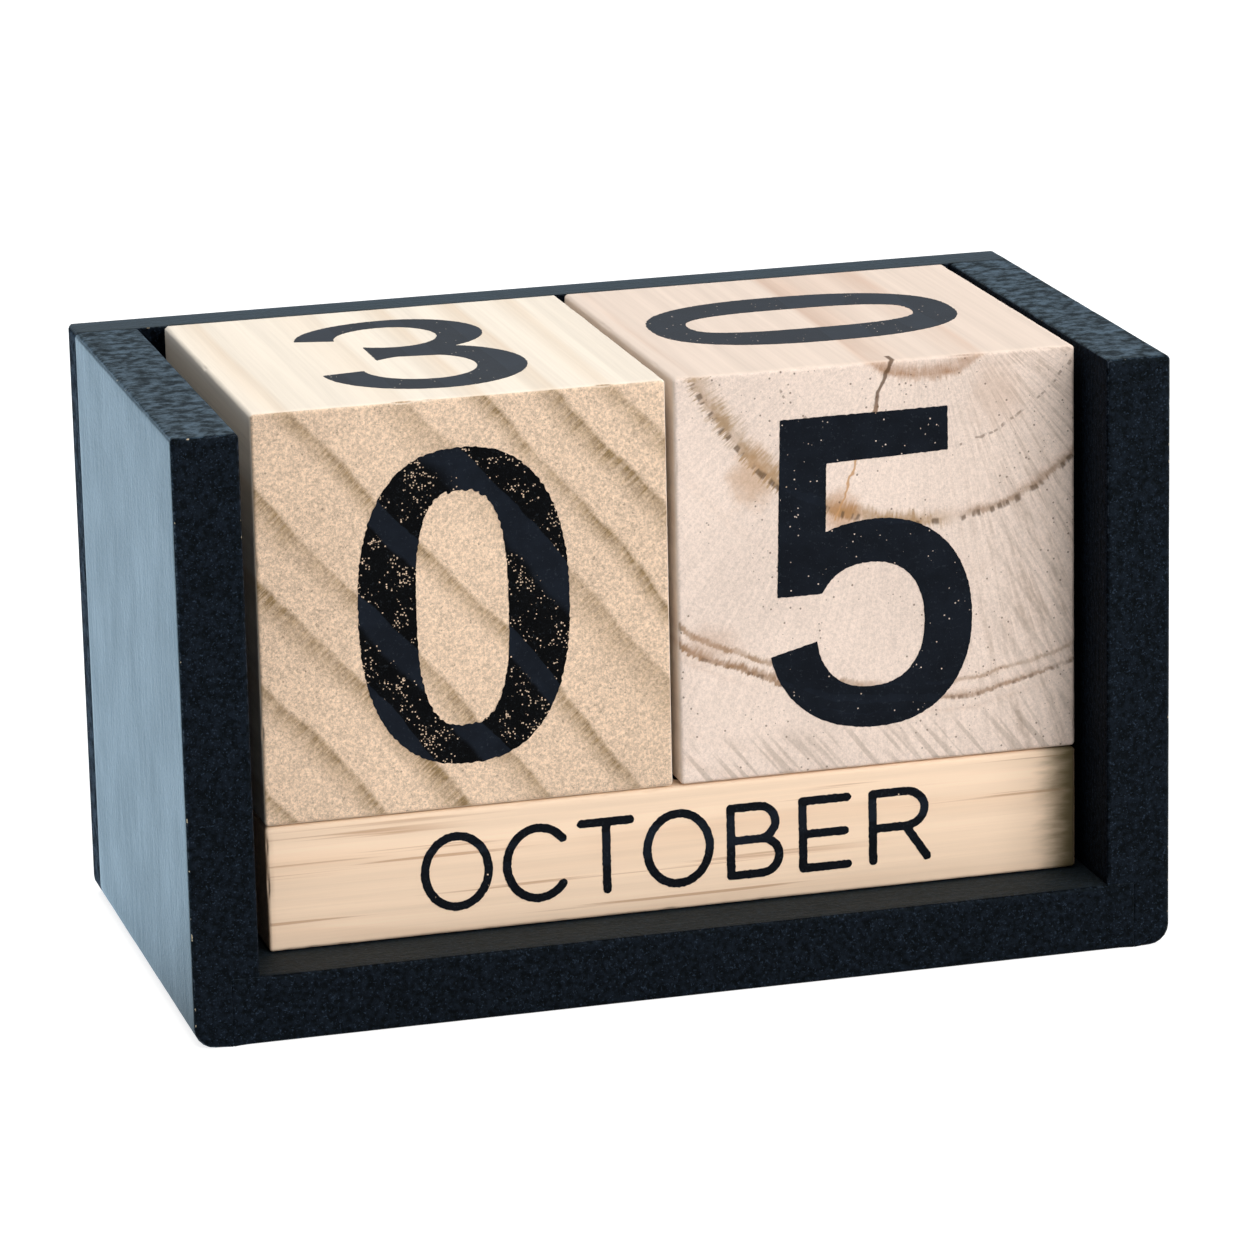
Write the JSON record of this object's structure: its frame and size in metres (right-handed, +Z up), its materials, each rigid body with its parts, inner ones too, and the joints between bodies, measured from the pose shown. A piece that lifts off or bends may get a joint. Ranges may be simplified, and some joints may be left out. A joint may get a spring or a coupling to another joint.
{
  "type": "desk block calendar",
  "caption": "Perpetual desk calendar: loose wooden date cubes and month bars, turned by hand, in an open painted wooden tray.",
  "frame": {"origin": "centre of the tray's underside, on the surface the calendar stands on", "axes": "+X to the reader's right along the tray, +Y towards the back panel, +Z up; the open front faces -Y"},
  "size_m": [0.121, 0.0648, 0.0738],
  "materials": {
    "painted_wood": "matte",
    "left_cube_pine": "matte",
    "right_cube_pine": "matte",
    "bar_pine": "matte",
    "printing_ink": "matte",
    "brad_steel": "brushed"
  },
  "bodies": {
    "tray": {"base": "painted_wood", "left_side": "painted_wood", "right_side": "painted_wood", "back_panel": "painted_wood", "left_base_brad_1": "brad_steel", "left_base_brad_2": "brad_steel", "right_base_brad_1": "brad_steel", "right_base_brad_2": "brad_steel", "left_back_brad_1": "brad_steel", "left_back_brad_2": "brad_steel", "left_back_brad_3": "brad_steel", "right_back_brad_1": "brad_steel", "right_back_brad_2": "brad_steel", "right_back_brad_3": "brad_steel", "rear_base_brad_1": "brad_steel", "rear_base_brad_2": "brad_steel", "rear_base_brad_3": "brad_steel"},
    "left_cube": {"left_date_cube": "left_cube_pine"},
    "right_cube": {"right_date_cube": "right_cube_pine"},
    "front_bar": {"front_month_bar": "bar_pine"},
    "middle_bar": {"middle_month_bar": "bar_pine"},
    "rear_bar": {"rear_month_bar": "bar_pine"}
  },
  "joints": [
    {"name": "left_cube_lift", "type": "slide", "parent": "tray", "child": "left_cube", "axis": [0, 0, 1], "range_m": [0, 0.055]},
    {"name": "right_cube_lift", "type": "slide", "parent": "tray", "child": "right_cube", "axis": [0, 0, 1], "range_m": [0, 0.055]},
    {"name": "rear_bar_slide", "type": "slide", "parent": "tray", "child": "rear_bar", "axis": [0, -1, 0], "range_m": [0, 0.057]},
    {"name": "middle_bar_slide", "type": "slide", "parent": "rear_bar", "child": "middle_bar", "axis": [0, -1, 0], "range_m": [0, 0.041]},
    {"name": "front_bar_slide", "type": "slide", "parent": "middle_bar", "child": "front_bar", "axis": [0, -1, 0], "range_m": [0, 0.025]}
  ]
}
